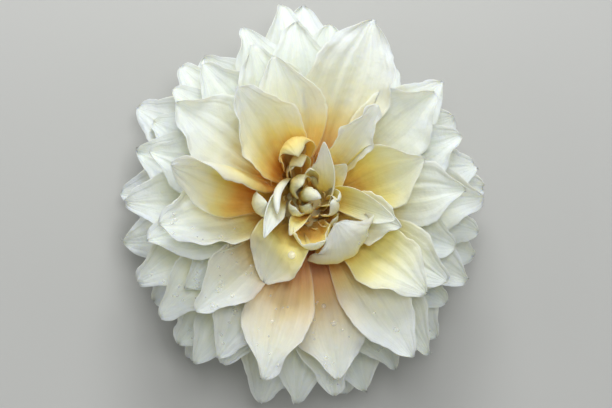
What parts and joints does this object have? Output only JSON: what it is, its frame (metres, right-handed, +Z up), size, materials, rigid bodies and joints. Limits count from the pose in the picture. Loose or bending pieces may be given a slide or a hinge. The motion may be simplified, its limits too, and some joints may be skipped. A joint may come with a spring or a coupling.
{
  "type": "dahlia flower",
  "caption": "Large double dahlia flower head, cream petals cupped round a curled yellow heart, face up on a short cut stalk.",
  "frame": {"origin": "middle of the bloom's outline seen from above, on the surface that its lowest petals rest on", "axes": "+Z up along the flower's axis, from the cut stalk to the heart; +Y across the bloom the longer way, to the edge that is at the top of the picture; +X to the picture's right"},
  "size_m": [0.209, 0.2268, 0.1173],
  "materials": {
    "petal": "soft living petal, cream, slightly translucent",
    "inner_bract": "thin papery bract, pale green",
    "stalk": "green plant stem, satin"
  },
  "bodies": {
    "root": {"bloom": "petal", "inner_bracts": "inner_bract", "stalk": "stalk"}
  },
  "joints": []
}
